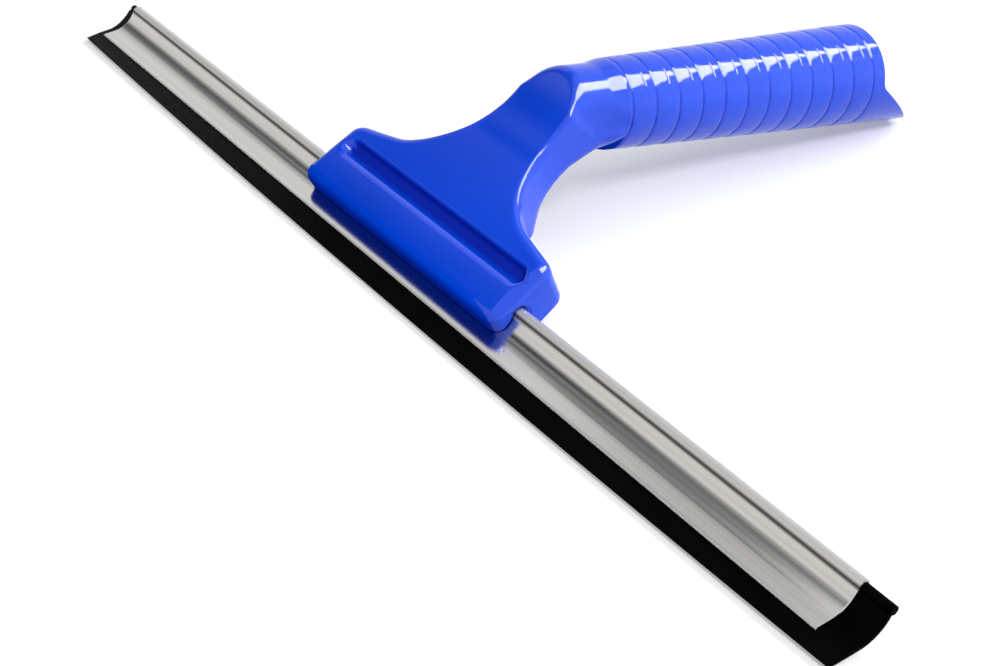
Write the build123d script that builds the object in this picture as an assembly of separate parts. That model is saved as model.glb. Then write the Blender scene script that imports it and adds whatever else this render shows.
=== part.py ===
"""A window squeegee: a moulded handle that clamps a folded channel, and a rubber blade held in the channel.

Everything is drawn in the frame of the head: x along the channel, y towards the back, z up from the
channel's lip to the handle. At the end the parts are laid down together on the blade's edge and the tail.
"""

import math
import os

from build123d import *

# Channel: one folded strip of sheet, open at the bottom, with a rolled spine at the top
channel_length = 350.0
sheet = 0.5
flange_length = 4.2
flange_lean = 22.0
cup_radius = 8.7
cup_end = 41.6
spine_radius = 1.8
lip_round = 0.2

# Rubber blade: a round bead, a curved web and a tapered edge below the lip
web = 1.1
rubber_clearance = 0.1
blade_reach = 7.2
blade_crown = 1.9
blade_tip = 0.7
rubber_past_left = 2.0
rubber_past_right = 9.0

# Head of the handle: the clamp, its two jaws and the shoulders
head_width = 92.6
head_front = 4.7
head_back = 7.9
head_height = 28.8
shoulder_radius = 4.2
end_corner = 2.6
channel_offset = -2.0
clamp_clearance = 0.2
front_jaw_drop = 4.9
front_jaw_tip = 2.4
front_jaw_top = 24.0
jaw_relief = (-1.5, 13.0)
jaw_land = 5.5
back_jaw_drop = 8.8
back_jaw_tip = 6.2
back_jaw_top = 16.0
slot_roof = 17.2

# Groove behind the front jaw, which lets the jaw give
groove_length = 84.5
groove_width = 3.2
groove_depth = 2.6
groove_height = 21.4
groove_round = 1.2
groove_lip = 0.6

# Fan between the head and the grip
shoulder_slope = 77.2
waist_half = 10.7
waist_height = 56.8
neck_side_radius = 200.0
neck_flare_height = 74.0
neck_flare_radius = 12.0
sweep_start = 46.0
sweep_radius = 62.0
back_sweep_start = 50.0
back_sweep_radius = 20.0
back_sweep = 45.0
neck_back = (8.0, 51.5)
neck_corner = 5.2
front_round = 1.8
back_round = 0.8

# Hollow in the back of the fan
skin = 3.0
rib = 2.2
hollow_turn = 78.3
hollow_below_waist = 1.8
hollow_round = 1.2

# Grip: the axis leans back from the head, the rings widen towards the tail
grip_lean = 36.0
axis_point = (-11.3, 52.9)
neck_radius = 12.1
neck_end = 27.5
flare_end = 32.0
first_groove = 33.4
ring_pitch = 8.5
ring_count = 12
first_radius = 13.0
grip_taper = 0.0258
notch_depth = 0.45
notch_half = 0.35
rim_after_last = 5.1

# Tail, cut square above and obliquely below, and the socket for an extension pole
tongue_start = 2.2
tongue_slope = 1.39
tongue_end = 22.4
tongue_round = 4.0
socket_radius = 12.3
socket_depth = 45.0
socket_step = 1.0
core_end_radius = 8.8
core_end = 22.0


def polar(centre, radius, angle):
    """A point at an angle, in degrees, about a centre."""
    turn = math.radians(angle)
    return (centre[0] + radius * math.cos(turn), centre[1] + radius * math.sin(turn))


def along(point, direction, amount):
    return (point[0] + direction[0] * amount, point[1] + direction[1] * amount)


def arc(centre, radius, first, last):
    middle = polar(centre, radius, (first + last) / 2)
    return ThreePointArc(polar(centre, radius, first), middle, polar(centre, radius, last))


def chain(*points):
    return [Line(first, last) for first, last in zip(points, points[1:])]


def polygon(*points):
    return make_face(Polyline(*points, close=True))


# Lines that the channel, the rubber and the clamp share, in the (y, z) plane
half_thickness = web / 2 + rubber_clearance + sheet
lean = math.radians(flange_lean)
flange_up = (math.sin(lean), math.cos(lean))
flange_back = (math.cos(lean), -math.sin(lean))
web_foot = along((0, 0), flange_back, half_thickness)
web_radius = cup_radius + half_thickness
cup_centre = along(along(web_foot, flange_up, flange_length), flange_back, -web_radius)
spine_centre = polar(cup_centre, cup_radius + spine_radius, cup_end)
web_back = cup_centre[0] + web_radius
channel_first = channel_offset - channel_length / 2
channel_last = channel_offset + channel_length / 2
blade_foot = along(web_foot, flange_up, -blade_reach)

# The waist's arc runs flush into the sloping line from the shoulder and into the neck's side
shoulder = (head_width / 2 - shoulder_radius, head_height - shoulder_radius)
slope_out = polar((0, 0), 1, shoulder_slope)
waist_reach = slope_out[0] * (waist_half - shoulder[0]) + slope_out[1] * (waist_height - shoulder[1])
waist_radius = (waist_reach - shoulder_radius) / (1 - slope_out[0])

# The grip's own directions, in the (y, z) plane, and its stations
tilt = math.radians(grip_lean)
axis_up = (math.sin(tilt), math.cos(tilt))
axis_down = (math.cos(tilt), -math.sin(tilt))
rim = first_groove + ring_pitch * (ring_count - 1) + rim_after_last
tail_end = rim + tongue_end


def on_grip(station, offset):
    """The (y, z) point at a station along the grip's axis, and an offset towards its underside."""
    return along(along(axis_point, axis_up, station), axis_down, offset)


def grip_radius(station):
    return first_radius + grip_taper * (station - first_groove)


def run_along_x(face, first, last):
    """A (y, z) face drawn flat, stood up and extruded from one x to another."""
    return extrude(Plane.YZ.offset(first) * face, last - first)


def across(face):
    """A (y, z) face extruded both ways, past the sides of the head."""
    return run_along_x(face, -head_width, head_width)


def front_to_back(face):
    """An (x, z) face extruded both ways, past the front and the back."""
    return extrude(Plane.XZ * face, head_width, both=True)


def turned(points):
    """A profile of (radius, station) points turned about the grip's axis."""
    frame = Plane((0, *axis_point), x_dir=(0, -axis_down[0], -axis_down[1]), z_dir=(-1, 0, 0))
    return revolve(frame * polygon(*points), Axis((0, *axis_point), (0, *axis_up)), 360)


def strip(half, foot=0.0):
    """The strip of the given half thickness along the web's line, without the spine's round end."""
    low = along(web_foot, flange_up, -foot)
    bend = along(web_foot, flange_up, flange_length)
    front, back = web_radius - half, web_radius + half
    front_low, back_low = along(low, flange_back, -half), along(low, flange_back, half)
    return make_face(
        [
            Line(front_low, along(bend, flange_back, -half)),
            arc(cup_centre, front, -flange_lean, cup_end),
            Line(polar(cup_centre, front, cup_end), polar(cup_centre, back, cup_end)),
            arc(cup_centre, back, cup_end, -flange_lean),
            Line(along(bend, flange_back, half), back_low),
            Line(back_low, front_low),
        ]
    )


def folded(half, spine, foot=0.0):
    """The web's strip joined to the round of the spine."""
    return strip(half, foot) + Pos(*spine_centre) * Circle(spine)


def channel():
    """The outside of the folded strip less the space for the rubber, with its two lips rounded."""
    outside = folded(half_thickness, spine_radius)
    inside = folded(half_thickness - sheet, spine_radius - sheet, foot=sheet)
    section = outside - inside
    lips = section.vertices().sort_by(Axis.Y)[:4]
    return run_along_x(fillet(lips, lip_round), channel_first, channel_last)


def rubber_blade():
    """Bead, web and edge in one length, with the edge trimmed to a long shallow arc."""
    first = channel_first - rubber_past_left
    last = channel_last + rubber_past_right
    bead = spine_radius - sheet - rubber_clearance
    edge = polygon(
        along(web_foot, flange_back, -web / 2),
        along(web_foot, flange_back, web / 2),
        along(blade_foot, flange_back, blade_tip / 2),
        along(blade_foot, flange_back, -blade_tip / 2),
    )
    body = run_along_x(folded(web / 2, bead) + edge, first, last)
    low, high = blade_foot[1], spine_centre[1] + spine_radius
    ends = low + blade_crown
    keep = make_face(
        [
            ThreePointArc((first, ends), ((first + last) / 2, low), (last, ends)),
            *chain((last, ends), (last, high), (first, high), (first, ends)),
        ]
    )
    return body & front_to_back(keep)


def head_plan():
    """Plan of the head, the fan and the neck, from the jaw's lower edge to above the knee."""
    half = head_width / 2
    low = front_jaw_drop
    corner = (half - end_corner, low + end_corner)
    waist = (waist_half + waist_radius, waist_height)
    neck = (waist_half + neck_side_radius, waist_height)
    turn = 180 - math.degrees(math.asin((neck_flare_height - waist_height) / neck_side_radius))
    flare = polar(neck, neck_side_radius - neck_flare_radius, turn)
    top = polar(flare, neck_flare_radius, 120)
    high = top[1] + head_width
    right = make_face(
        [
            Line((0, low), (corner[0], low)),
            arc(corner, end_corner, -90, 0),
            Line((half, corner[1]), (half, shoulder[1])),
            arc(shoulder, shoulder_radius, 0, shoulder_slope),
            Line(
                polar(shoulder, shoulder_radius, shoulder_slope),
                polar(waist, waist_radius, 180 + shoulder_slope),
            ),
            arc(waist, waist_radius, 180 + shoulder_slope, 180),
            arc(neck, neck_side_radius, 180, turn),
            arc(flare, neck_flare_radius, turn, 120),
            *chain(top, (top[0], high), (0, high), (0, low)),
        ]
    )
    return right + mirror(right, Plane.YZ)


def jaw_arc(tip, face, drop, top):
    """Radius and half angle of the arc from a jaw's tip that runs flush into its face."""
    fall, rise = face - tip, top - drop
    radius = (fall**2 + rise**2) / (2 * fall)
    return radius, math.degrees(math.asin(rise / radius))


def front_line(sweep):
    """The front of jaw, head and fan in the (y, z) plane, swept forward by an angle, and its last point."""
    radius, angle = jaw_arc(front_jaw_tip, head_front, front_jaw_drop, front_jaw_top)
    sweep_centre = (-head_front - sweep_radius, sweep_start)
    edges = [
        arc((radius - head_front, front_jaw_top), radius, 180 + angle, 180),
        Line((-head_front, front_jaw_top), (-head_front, sweep_start)),
        arc(sweep_centre, sweep_radius, 0, sweep),
    ]
    return edges, polar(sweep_centre, sweep_radius, sweep)


def back_line():
    """The back of fan, head and jaw in the (y, z) plane, from behind the neck down to the jaw's tip."""
    radius, angle = jaw_arc(back_jaw_tip, head_back, back_jaw_drop, back_jaw_top)
    leave = (head_back + back_sweep_radius, back_sweep_start)
    turn = math.radians(back_sweep)
    first = polar(leave, back_sweep_radius, 180 - back_sweep)
    far = along(first, (math.sin(turn), math.cos(turn)), head_width)
    return far, [
        Line(far, first),
        arc(leave, back_sweep_radius, 180 - back_sweep, 180),
        Line((head_back, back_sweep_start), (head_back, back_jaw_top)),
        arc((head_back - radius, back_jaw_top), radius, 0, -angle),
    ]


def rounded(body, side, radius):
    """Round the outline of the faces that look forward (side -1) or backward (side 1)."""
    faces = body.faces().filter_by(lambda face: face.normal_at().Y * side > 0.85)
    return fillet(faces.edges().filter_by(Axis.X, reverse=True), radius)


def envelope():
    """The space that the head, the fan and the neck may fill, with its front and back outlines rounded."""
    front, front_end = front_line(32)
    far, back = back_line()
    upper = chain(front_end, (front_end[0], far[1]), far)
    tips = ((back_jaw_tip, back_jaw_drop), (web_back, back_jaw_drop), (web_back, front_jaw_drop))
    side = make_face(front + upper + back + chain(*tips, (-front_jaw_tip, front_jaw_drop)))
    block = across(side) & front_to_back(head_plan())
    return rounded(rounded(block, -1, front_round), 1, back_round)


def neck_body():
    """Head, fan and smooth neck: a block up to the neck and a tube to the rings, cut from one envelope."""
    knee = front_line(19)[1]
    flare = (grip_radius(flare_end), flare_end)
    tube = turned([(0, 0), (neck_radius, 0), (neck_radius, neck_end), flare, (0, flare_end)])
    inside = neck_radius / 6
    block = polygon(
        (-head_width, 0),
        (-head_width, knee[1]),
        knee,
        on_grip(core_end, inside),
        on_grip(flare_end, inside),
        on_grip(flare_end, neck_corner),
        neck_back,
        (head_width, neck_back[1]),
        (head_width, 0),
    )
    return (across(block) + tube) & envelope()


def grip_body():
    """The rings and the tail, cut square above and obliquely below."""
    points = [(0, flare_end), (grip_radius(flare_end), flare_end)]
    for ring in range(ring_count):
        station = first_groove + ring_pitch * ring
        points.append((grip_radius(station), station - notch_half))
        points.append((grip_radius(station) - notch_depth, station))
        points.append((grip_radius(station), station + notch_half))
    far = tail_end + head_width
    points += [(grip_radius(far), far), (0, far)]
    wide = head_width
    edge = FilletPolyline(
        on_grip(rim, -wide),
        on_grip(rim, -tongue_start / tongue_slope),
        on_grip(tail_end, (tongue_end - tongue_start) / tongue_slope),
        on_grip(tail_end, wide),
        radius=tongue_round,
    )
    beyond = (on_grip(far + wide, wide), on_grip(far + wide, -wide))
    outer = chain(on_grip(tail_end, wide), *beyond, on_grip(rim, -wide))
    return turned(points) - across(make_face(edge.edges() + outer))


def clamp_slot():
    """The space for the channel: its own outline with clearance, and the jaws' relief round it."""
    clear = folded(half_thickness + clamp_clearance, spine_radius + clamp_clearance, foot=flange_length)
    back_wall = web_back + half_thickness + clamp_clearance
    land = (cup_centre[0] + cup_radius - clamp_clearance, jaw_land)
    relief = polygon(
        land,
        jaw_relief,
        spine_centre,
        (spine_centre[0], slot_roof),
        (back_wall, slot_roof),
        (back_wall, -flange_length),
        (web_foot[0], -flange_length),
    )
    return across(clear + relief)


def jaw_groove():
    """The long groove behind the front jaw, round at its ends and along its bottom."""
    bottom = Plane.XZ.offset(head_front - groove_depth)
    cutter = extrude(bottom * Pos(0, groove_height) * SlotOverall(groove_length, groove_width), head_width)
    return fillet(cutter.faces().sort_by(Axis.Y)[-1].edges(), groove_round)


def fan_hollow():
    """The hollow in the back of the fan, parted by a rib down the middle."""
    centre = (waist_half + waist_radius, waist_height)
    radius = waist_radius + skin
    low = 180 + hollow_turn
    high = 180 + math.degrees(math.asin(hollow_below_waist / radius))
    half = rib / 2
    by_rib = ((half, polar(centre, radius, high)[1]), (half, polar(centre, radius, low)[1]))
    side = make_face(
        [
            arc(centre, radius, low, high),
            *chain(polar(centre, radius, high), *by_rib, polar(centre, radius, low)),
        ]
    )
    side = fillet(side.vertices(), hollow_round)
    return extrude(Plane.XZ.offset(head_front - skin) * (side + mirror(side, Plane.YZ)), -head_width)


def socket():
    """The pole's socket from the tail, a step for the pole's end, and the tapered core beyond."""
    inner = rim - socket_depth
    far = tail_end + head_width
    core = socket_radius - socket_step
    return turned(
        [
            (0, core_end),
            (core_end_radius, core_end),
            (core, inner),
            (socket_radius, inner),
            (socket_radius, far),
            (0, far),
        ]
    )


def on_front(edge):
    """Whether an edge lies on the front, round the mouth of the groove."""
    middle = edge.center()
    near = abs(middle.Z - groove_height) < groove_width and abs(middle.X) < groove_length / 2 + 1
    return near and middle.Y < groove_depth / 2 - head_front


def handle():
    """The whole moulding: head, fan, neck and grip, less the slot, the groove, the hollow and the socket."""
    body = neck_body() + grip_body() - clamp_slot() - jaw_groove()
    return fillet(body.edges().filter_by(on_front), groove_lip) - fan_hollow() - socket()


def laid_down(shape):
    """Turn a part about x until the blade's edge and the tail's tip lie on one level."""
    tail_tip = on_grip(tail_end, grip_radius(tail_end))
    blade_edge = along(blade_foot, flange_back, blade_tip / 2)
    rise = math.degrees(math.atan2(tail_tip[0] - blade_edge[0], tail_tip[1] - blade_edge[1]))
    return shape.rotate(Axis.X, rise - 90)


if __name__ == "__main__":
    os.makedirs("parts", exist_ok=True)
    shapes = {"handle": handle(), "channel": channel(), "rubber_blade": rubber_blade()}
    shapes = {name: laid_down(shape) for name, shape in shapes.items()}
    box = Compound(list(shapes.values())).bounding_box()
    centre = box.center()
    for name, shape in shapes.items():
        placed = shape.moved(Location((-centre.X, -centre.Y, -box.min.Z)))
        placed.label = name
        export_step(placed, f"parts/{name}.step")
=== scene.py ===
"""Looks of a window squeegee: a glossy blue handle, a bright folded steel channel and a black rubber blade.

Shapes are worked out in the frame of the head, in millimetres: x along the channel, y towards the back,
z up from the channel's lip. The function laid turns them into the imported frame, in metres.
"""

import math

import bmesh
import bpy
import numpy as np
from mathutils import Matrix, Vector


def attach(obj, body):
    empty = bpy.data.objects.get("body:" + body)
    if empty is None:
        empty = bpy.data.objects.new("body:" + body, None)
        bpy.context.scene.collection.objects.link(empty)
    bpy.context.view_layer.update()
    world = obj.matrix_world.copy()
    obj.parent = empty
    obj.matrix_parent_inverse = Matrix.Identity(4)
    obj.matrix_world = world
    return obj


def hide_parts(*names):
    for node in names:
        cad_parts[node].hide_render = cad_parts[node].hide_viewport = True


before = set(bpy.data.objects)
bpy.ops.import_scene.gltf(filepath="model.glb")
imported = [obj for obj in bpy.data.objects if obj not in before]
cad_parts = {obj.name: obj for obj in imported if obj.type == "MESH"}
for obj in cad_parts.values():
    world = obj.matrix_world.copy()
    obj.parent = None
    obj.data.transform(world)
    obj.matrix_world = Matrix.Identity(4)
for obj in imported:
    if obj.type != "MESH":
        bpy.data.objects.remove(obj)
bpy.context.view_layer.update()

# Laying down: the turn about x and the shift of the head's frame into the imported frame
LAY = math.radians(28.114122)
SHIFT = (-1.5, -92.4811, 2.26675)

# Meshes: welding distance and shortest edge in metres, angles in degrees
WELD = 2e-7
SHORTEST = 1e-8
SHARP = 35.0
STRIP_SHARP = 40.0
STRAIGHT = 4.0

# Channel and rubber
CHANNEL_ENDS = (-177.0, 173.0)
RUBBER_ENDS = (-180.0, 182.0)
CHAMFER = 0.1
RUBBER_BULGE = 1.2
SHEET = 0.5
FOLD = 2.3
LIP_ROUND = 0.2
FLANGE = 4.2
FLANGE_LEAN = math.radians(22.0)
FLANGE_UP = np.array([math.sin(FLANGE_LEAN), math.cos(FLANGE_LEAN)])
FLANGE_BACK = np.array([FLANGE_UP[1], -FLANGE_UP[0]])
CUP = (-6.4932, 7.1533)
CUP_RADIUS = 8.7
CUP_START = -22.0
CUP_END = 41.6
SPINE = (1.3587, 14.1246)
SPINE_RADIUS = 1.8
WEB = 1.1
WEB_TOP = 36.0
RUBBER_GAP = 0.1
BLADE_REACH = 6.7
BLADE_CROWN = 1.9
BLADE_TIP = 0.7
BLADE_FALLS = np.array([0.0, 0.2, 0.4, 0.6, 0.8, 0.94, 0.985, 1.0])
BLADE_PULLS = np.array([0.0, 0.0, 0.0, 0.0, 0.0, 0.0, 0.02, 0.09])

# Clamp: clearance, the front jaw's face, and places from the middle with the opening's widening there
CLAMP_GAP = 0.2
JAW_FACE_END = -11.2
BACK_WALL = 4.7068
OUTSIDE = 60.0
LEFT_MOUTH = [(OUTSIDE, 0.35), (48.2, 0.3), (48.0, 0.2), (47.8, 0.1), (47.5, 0.02), (47.2, 0.0)]
RIM_ROUND = 1.2
RIGHT_RIM = 47.6
TIGHT_END, LOOSE_END = 45.2, 44.6

# Head: jaws, their arcs' tips and tops, and the sweeps of the front and the back
HALF_HEAD = 46.3
HEAD_FRONT = 4.7
HEAD_BACK = 7.9
JAW_LOW = 5.8
JAW_TIP = 3.0
JAW_TOP = 24.0
FRONT_SWEEP_LOW = 46.0
FRONT_SWEEP = 62.0
BACK_JAW_LOW = 8.8
BACK_JAW_TIP = 6.2
BACK_JAW_TOP = 16.0
BACK_SWEEP_LOW = 50.0
BACK_SWEEP = 20.0
BACK_STEP = 3.36
BACK_ROUND = 0.8
EDGE_ROUNDS = ([5.8, 9.0, 14.0, 22.0, 28.0, 34.0, 56.0, 64.0], [2.2, 3.2, 4.2, 4.0, 3.0, 1.7, 1.6, 1.8])

# Plan: corner, shoulder, slope, waist, neck and flare
END_CORNER = 3.6
SHOULDER = (42.1, 24.6)
SHOULDER_RADIUS = 4.2
SLOPE = 77.2
WAIST = (36.7, 56.8)
WAIST_RADIUS = 26.0
NECK = (210.7, 56.8)
NECK_SIDE_RADIUS = 200.0
FLARE = (23.398, 72.970)
FLARE_RADIUS = 12.0
FLARE_START = 74.0
FLARE_TURN = 120.0
PAST_FLARE = 60.0

# Draft of the ends and sides by height, at the back, at the front and more at the front on the left
END_HEIGHTS = [5.0, 10.0, 15.0, 24.0, 29.0]
FRONT_ENDS = [0.3, 0.5, 0.8, 1.2, 0.6]
BACK_ENDS = [0.4, 1.4, 2.3, 1.4, 0.2]
LEFT_ENDS = [4.1, 3.6, 2.7, 1.3, 0.4]
WIDTH_HEIGHTS = [22.0, 25.0, 29.0, 32.0, 34.0, 36.0, 40.0, 44.0, 50.0, 54.0, 62.0, 67.0, 72.0, 77.0]
FRONT_WIDTHS = [0.0, 0.3, 0.1, -0.3, -0.2, 0.1, 0.6, 1.0, 1.3, 1.3, 0.9, 0.4, 0.0, 0.0]
BACK_WIDTHS = [0.0, -0.2, -1.7, -2.1, -0.8, 0.6, 1.1, 0.9, 0.8, 0.7, 0.4, 0.2, 0.0, 0.0]
LEFT_WIDTHS = [0.0, 0.2, 0.1, 0.4, 0.9, 1.3, 1.6, 1.6, 1.1, 0.6, -0.2, 0.2, 0.8, 0.0]
EASE_STEP = 0.25
EASE_TOP = 90.0
BACK_EASE = 3.0
FRONT_EASE = 6.0

# Groove across the head, and the hollow with a rib behind the fan
GROOVE_HALF = 42.25
GROOVE_HEIGHT = 21.4
GROOVE_RADIUS = 1.6
GROOVE_FLOOR = -2.1
GROOVE_FOOT = 1.2
GROOVE_LIPS = ([-1.2, 1.2], [4.5, 1.5])
SKIN = 3.0
RIB = 2.2
HOLLOW_CORNER = 1.0
HOLLOW_BACK = 40.0

# Knee and neck: KNEE and CHIN are (y, z), KNEE_END is a station and an offset
KNEE = (-8.08, 66.19)
KNEE_END = (22.0, 2.0)
CHIN = (8.0, 51.5)
CHIN_END = 5.2
NECK_BLEND = 2.5
NECK_FADE = (25.0, 31.0)
NECK_SWELL = 1.6
NECK_ROUNDS = ([50.0, 58.0], [0.4, 3.0])
PIVOT = (22.0, 49.8)
PIVOT_REACH = 20.4

# Grip
LEAN = math.radians(36.0)
AXIS_POINT = (-11.3, 52.9)
NECK_RADIUS = 12.1
NECK_END = 27.5
FLARE_END = 32.0
FIRST_GROOVE = 33.4
RING_PITCH = 8.5
RING_COUNT = 12
FIRST_RADIUS = 13.0
TAPER = 0.0258
TOP_NOTCH = 0.4
RIM = 132.0
TAIL_END = 154.4
TAIL_SLOPE = 1.39
TAIL_CORNER = 4.0
TAIL_MIDDLE = 2.2
TAIL_EDGE = 0.6
SOCKET_RADIUS = 12.3
SOCKET_EDGE = 0.4
SOCKET_INNER = 87.0
CORE = [(11.3, SOCKET_INNER), (10.6, 68.0), (9.7, 45.0), (8.8, 22.0), (4.0, 22.0), (0.0, 22.0)]

# Sections of the handle: columns on each flat and round each end, the middle line and its inset, rays
FLAT = 54
CAP = 46
JAW_MIDDLE, HEAD_MIDDLE = 0.5, 1.6
INSET = 6.3
FAN_ROWS = 96
RAY = 20.0
HALVINGS = 40


def laid(points):
    """Turn points about x by the laying angle, shift them and give metres."""
    x, y, z = points[..., 0], points[..., 1], points[..., 2]
    turned = (x, y * math.sin(LAY) + z * math.cos(LAY), z * math.sin(LAY) - y * math.cos(LAY))
    return np.stack([value + shift for value, shift in zip(turned, SHIFT)], -1) / 1000


def quads(rows, columns):
    """Corner numbers of the faces between neighbouring rows of a grid whose columns close on themselves."""
    i, j = np.meshgrid(np.arange(rows - 1), np.arange(columns), indexing="ij")
    k = (j + 1) % columns
    near, far = i * columns, (i + 1) * columns
    return np.stack([near + j, near + k, far + k, far + j], -1).reshape(-1, 4)


def piece(name, points, sharp=SHARP):
    """A welded mesh object of a laid-down grid of points, smooth but for edges sharper than an angle."""
    mesh = bpy.data.meshes.new(name)
    faces = quads(*points.shape[:2])
    flat = laid(points.reshape(-1, 3))
    mesh.vertices.add(len(flat))
    mesh.vertices.foreach_set("co", flat.ravel())
    mesh.loops.add(faces.size)
    mesh.loops.foreach_set("vertex_index", faces.ravel().astype(np.int32))
    mesh.polygons.add(len(faces))
    mesh.polygons.foreach_set("loop_start", np.arange(len(faces), dtype=np.int32) * faces.shape[1])
    mesh.update(calc_edges=True)
    made = bmesh.new()
    made.from_mesh(mesh)
    bmesh.ops.remove_doubles(made, verts=made.verts, dist=WELD)
    bmesh.ops.dissolve_degenerate(made, edges=made.edges, dist=SHORTEST)
    bmesh.ops.recalc_face_normals(made, faces=made.faces)
    made.to_mesh(mesh)
    made.free()
    shade(mesh, sharp)
    obj = bpy.data.objects.new(name, mesh)
    bpy.context.scene.collection.objects.link(obj)
    return obj


def shade(mesh, sharp):
    """Shade a mesh smooth, but for edges sharper than an angle."""
    mesh.polygons.foreach_set("use_smooth", np.ones(len(mesh.polygons), bool))
    mesh.set_sharp_from_angle(angle=math.radians(sharp))
    mesh.update()


def prism(name, outlines, depths, place):
    """A closed bar: outlines of two columns carried from depth to depth, its ends closed on their middles."""
    count = outlines.shape[1]
    rows = [place(outline, np.full(count, depth)) for outline, depth in zip(outlines, depths)]
    ends = [np.repeat(row.mean(0, keepdims=True), count, 0) for row in (rows[0], rows[-1])]
    return piece(name, np.stack([ends[0], *rows, ends[1]]))


def across(outline, depth):
    """An outline of (y, z) at a place along x."""
    return np.stack([depth, outline[:, 0], outline[:, 1]], -1)


def behind(outline, depth):
    """An outline of (x, z) at a place along y."""
    return np.stack([outline[:, 0], depth, outline[:, 1]], -1)


def spread(outline, amount, reach=5):
    """An outline moved outwards along its own normals, each evened out with those of its neighbours."""
    along = np.roll(outline, -1, 0) - np.roll(outline, 1, 0)
    area = np.sum(outline[:, 0] * np.roll(outline[:, 1], -1) - np.roll(outline[:, 0], -1) * outline[:, 1])
    normal = np.stack([along[:, 1], -along[:, 0]], -1) * np.sign(area)
    normal /= np.linalg.norm(normal, axis=1, keepdims=True)
    even = sum(np.roll(normal, step, 0) * (reach + 1 - abs(step)) for step in range(-reach, reach + 1))
    return outline + amount * even / np.linalg.norm(even, axis=1, keepdims=True)


def straighten(mesh):
    """Drop the points that lie on a nearly straight edge between only two faces, as a cut leaves some."""
    ends = np.empty(2 * len(mesh.edges), np.int32)
    mesh.edges.foreach_get("vertices", ends)
    shape = bmesh.new()
    shape.from_mesh(mesh)
    shape.verts.ensure_lookup_table()
    between = [shape.verts[i] for i in np.flatnonzero(np.bincount(ends) == 2)]
    straight = [point for point in between if point.calc_edge_angle(math.pi) < math.radians(STRAIGHT)]
    bmesh.ops.dissolve_verts(shape, verts=straight)
    shape.to_mesh(mesh)
    shape.free()


def cut(obj, *cutters):
    """Take the cutters away from a closed piece, and remove them."""
    for cutter in cutters:
        hole = obj.modifiers.new("cut", "BOOLEAN")
        hole.operation = "DIFFERENCE"
        hole.solver = "MANIFOLD"
        hole.object = cutter
    bpy.context.view_layer.update()
    shown = obj.evaluated_get(bpy.context.evaluated_depsgraph_get())
    mesh = bpy.data.meshes.new_from_object(shown)
    mesh.name = obj.name
    straighten(mesh)
    mesh.materials.clear()
    mesh.polygons.foreach_set("material_index", np.zeros(len(mesh.polygons), np.int32))
    obj.modifiers.clear()
    obj.data = mesh
    for cutter in cutters:
        bpy.data.objects.remove(cutter)
    shade(mesh, SHARP)


def round_max(first, second, radius):
    """Where two solids meet, an edge rounded by a radius: the distance to the edge's inner corner."""
    corner = np.hypot(np.maximum(first + radius, 0), np.maximum(second + radius, 0))
    return np.minimum(np.maximum(first, second), -radius) + corner


def soft_min(first, second, width):
    """Two solids joined with a soft fillet of about the given width."""
    share = np.clip(0.5 + 0.5 * (second - first) / width, 0, 1)
    return second + (first - second) * share - width * share * (1 - share)


def smooth(share):
    """A share from 0 to 1 that starts and ends gently."""
    return share * share * (3 - 2 * share)


def leg(radius, off):
    """The half chord of a circle at a distance from its middle, 0 outside it."""
    return np.sqrt(np.maximum(radius**2 - off**2, 0))


def polar(centre, radius, angle):
    """The two coordinates at a radius and an angle, in degrees, from a centre."""
    turn = np.radians(angle)
    return centre[0] + radius * np.cos(turn), centre[1] + radius * np.sin(turn)


def arc(centre, radius, first, last, count):
    """Points in two columns on an arc between two angles."""
    return np.stack(polar(centre, radius, np.linspace(first, last, count)), -1)


def to_arc(x, z, centre, radius, first, last):
    """Distance from points to an arc that runs between two angles."""
    dx, dz = x - centre[0], z - centre[1]
    middle = math.radians((first + last) / 2)
    off = np.abs((np.arctan2(dz, dx) - middle + np.pi) % (2 * np.pi) - np.pi)
    tips = polar(centre, radius, first), polar(centre, radius, last)
    ends = [np.hypot(x - tip[0], z - tip[1]) for tip in tips]
    inside = off <= math.radians(abs(last - first) / 2)
    return np.where(inside, np.abs(np.hypot(dx, dz) - radius), np.minimum(*ends))


def to_line(x, z, first, last):
    """Distance from points to a straight stretch."""
    ex, ez = last[0] - first[0], last[1] - first[1]
    share = np.clip(((x - first[0]) * ex + (z - first[1]) * ez) / (ex * ex + ez * ez), 0, 1)
    return np.hypot(x - first[0] - share * ex, z - first[1] - share * ez)


def slope_ends():
    """The ends of the straight slope, where it leaves the shoulder and meets the waist."""
    return polar(SHOULDER, SHOULDER_RADIUS, SLOPE), polar(WAIST, WAIST_RADIUS, 180 + SLOPE)


def half_width(z):
    """Half the width of the plan at a height: corner, side, shoulder, slope, waist, neck and flare in turn."""
    low = JAW_LOW + END_CORNER
    first, last = slope_ends()
    flare_top = FLARE[1] + FLARE_RADIUS * math.sin(math.radians(FLARE_TURN))
    tops = [low, SHOULDER[1], first[1], last[1], WAIST[1], FLARE_START, flare_top]
    widths = [
        HALF_HEAD - END_CORNER + leg(END_CORNER, z - low),
        np.full_like(z, HALF_HEAD),
        SHOULDER[0] + leg(SHOULDER_RADIUS, z - SHOULDER[1]),
        first[0] + (z - first[1]) * (last[0] - first[0]) / (last[1] - first[1]),
        WAIST[0] - leg(WAIST_RADIUS, z - WAIST[1]),
        NECK[0] - leg(NECK_SIDE_RADIUS, z - NECK[1]),
        FLARE[0] - leg(FLARE_RADIUS, z - FLARE[1]),
    ]
    return np.select([z < top for top in tops], widths, PAST_FLARE)


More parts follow.
